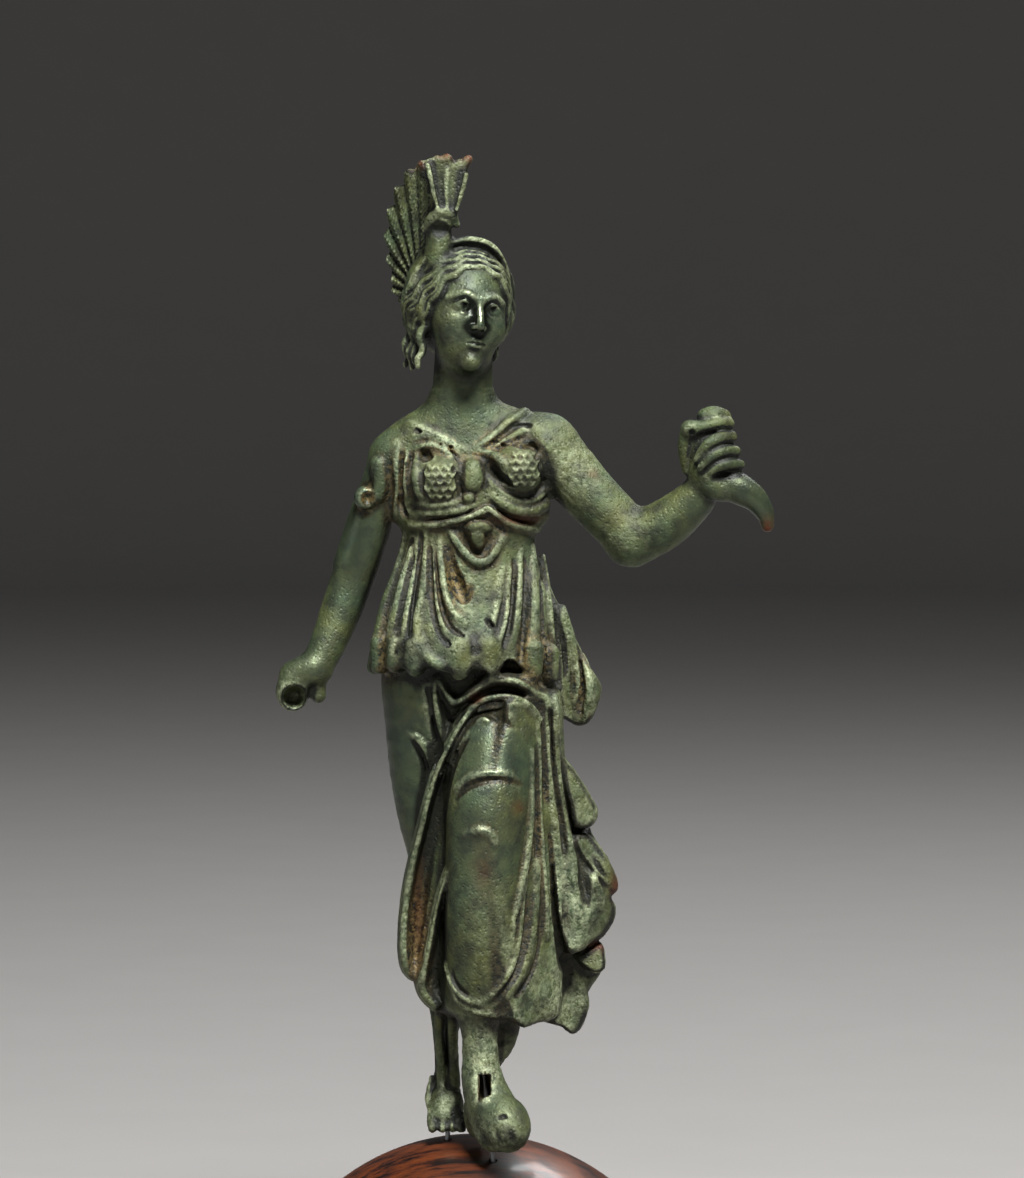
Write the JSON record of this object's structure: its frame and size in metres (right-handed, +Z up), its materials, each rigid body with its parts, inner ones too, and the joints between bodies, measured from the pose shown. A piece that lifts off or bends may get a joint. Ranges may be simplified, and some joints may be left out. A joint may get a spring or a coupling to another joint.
{
  "type": "athena statue",
  "caption": "Small cast bronze figure of a striding helmeted goddess with a fan crest, pinned on a turned wooden ball.",
  "frame": {"origin": "centre of the wooden ball's flat underside", "axes": "+Z up, the figure faces -Y, +X to the viewer's right"},
  "size_m": [0.0888, 0.0754, 0.2007],
  "materials": {
    "bronze": "green patinated cast bronze, corroded in places",
    "turned_wood": "turned and polished, dark streaked reddish brown",
    "steel": "dull drawn rod"
  },
  "bodies": {
    "root": {"figure": "bronze", "ball_base": "turned_wood", "front_pin": "steel", "rear_pin": "steel"}
  },
  "joints": []
}
